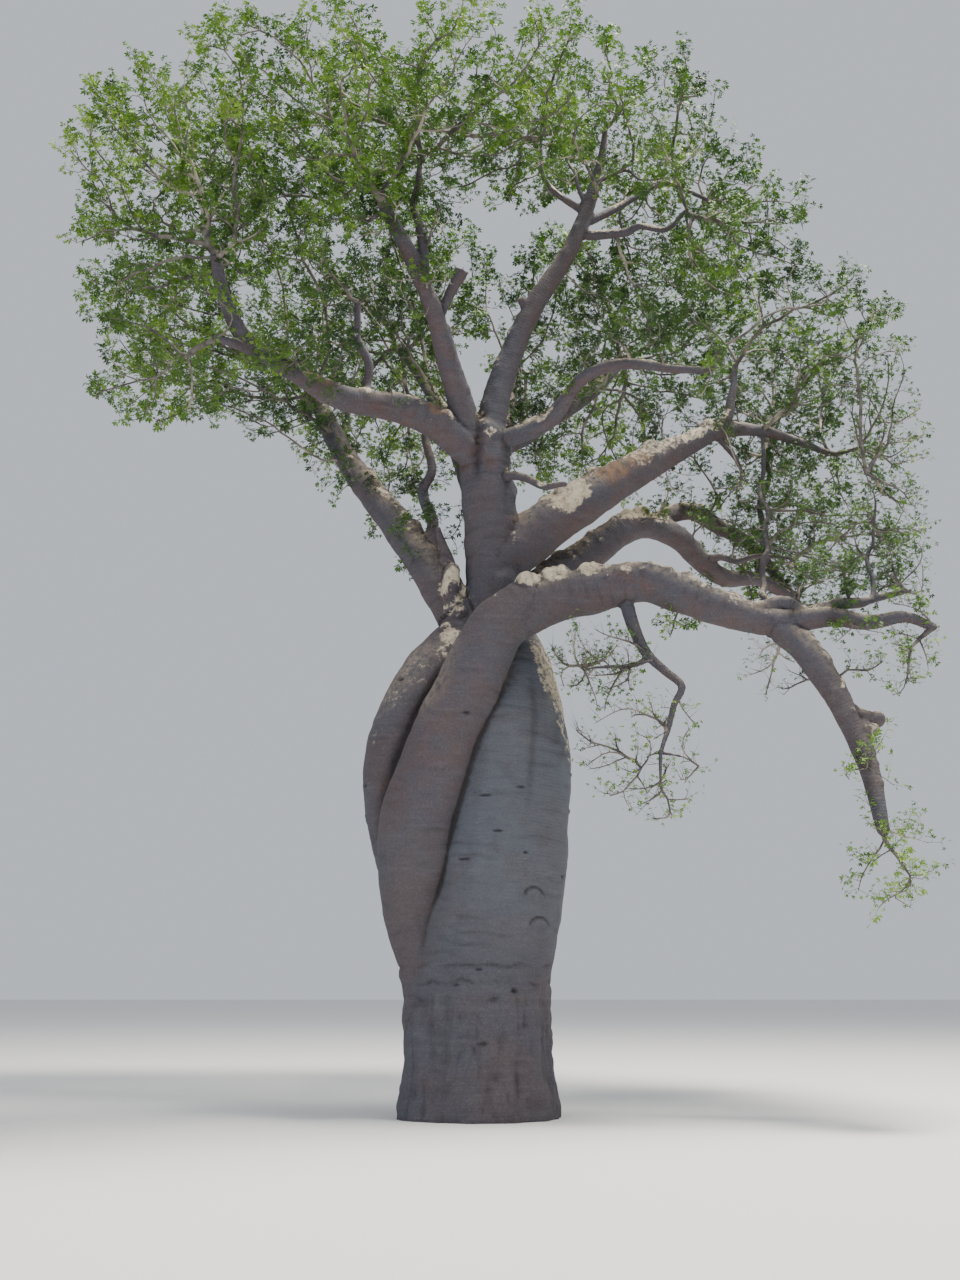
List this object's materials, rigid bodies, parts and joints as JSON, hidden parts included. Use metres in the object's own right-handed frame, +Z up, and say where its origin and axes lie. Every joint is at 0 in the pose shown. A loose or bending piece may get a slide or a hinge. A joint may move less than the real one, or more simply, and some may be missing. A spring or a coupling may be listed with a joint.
{
  "type": "baobab tree",
  "caption": "Whole baobab tree with a stout bottle-shaped trunk of fused twisting stems, thick tapering boughs and an open spreading crown of small leaves.",
  "frame": {"origin": "centre of the trunk's flat cut at ground level", "axes": "+Z up the trunk, +X to the right and +Y away as seen from the front, where the lowest bough reaches +X"},
  "size_m": [12.9111, 11.3103, 16.0015],
  "materials": {
    "bark": "grey-brown bark, smooth with ring lines, lumps and scars",
    "leaves": "matt green foliage"
  },
  "bodies": {
    "root": {"behind_centre_left_foliage": "leaves", "between_right_boughs_foliage": "leaves", "broken_stub": "bark", "central_stem": "bark", "centre_left_bough": "bark", "centre_left_foliage": "leaves", "centre_right_bough": "bark", "centre_right_bough_left_fork": "bark", "centre_right_bough_right_fork": "bark", "drooping_bough": "bark", "drooping_tip_foliage": "leaves", "far_rear_left_foliage": "leaves", "far_rear_right_foliage": "leaves", "far_right_foliage": "leaves", "hanging_branch_foliage": "leaves", "hanging_branch_lower": "bark", "hanging_branch_upper": "bark", "hanging_tip_foliage": "leaves", "inner_right_bough": "bark", "inner_right_bough_outer": "bark", "inner_right_foliage": "leaves", "left_inner_foliage": "leaves", "left_low_foliage": "leaves", "left_outer_foliage": "leaves", "left_rear_low_foliage": "leaves", "lower_left_bough": "bark", "lower_right_bough": "bark", "lower_right_bough_outer": "bark", "lower_right_bough_tip": "bark", "lower_right_foliage": "leaves", "lower_right_hanging_foliage": "leaves", "middle_right_bough": "bark", "middle_right_bough_outer": "bark", "rear_centre_bough": "bark", "rear_centre_left_foliage": "leaves", "rear_centre_right_foliage": "leaves", "rear_left_bough": "bark", "rear_left_foliage": "leaves", "rear_left_outer_foliage": "leaves", "rear_right_bough": "bark", "rear_right_foliage": "leaves", "rear_right_outer_foliage": "leaves", "rear_right_upper_bough": "bark", "right_middle_foliage": "leaves", "right_outer_foliage": "leaves", "right_shoulder_foliage": "leaves", "summit_centre_foliage": "leaves", "summit_centre_left_foliage": "leaves", "summit_left_foliage": "leaves", "summit_right_foliage": "leaves", "top_centre_foliage": "leaves", "top_centre_left_foliage": "leaves", "top_centre_right_foliage": "leaves", "top_left_foliage": "leaves", "top_left_outer_foliage": "leaves", "top_right_foliage": "leaves", "trunk": "bark", "upper_left_bough": "bark", "upper_left_bough_upturn": "bark", "upper_right_bough": "bark"}
  },
  "joints": []
}
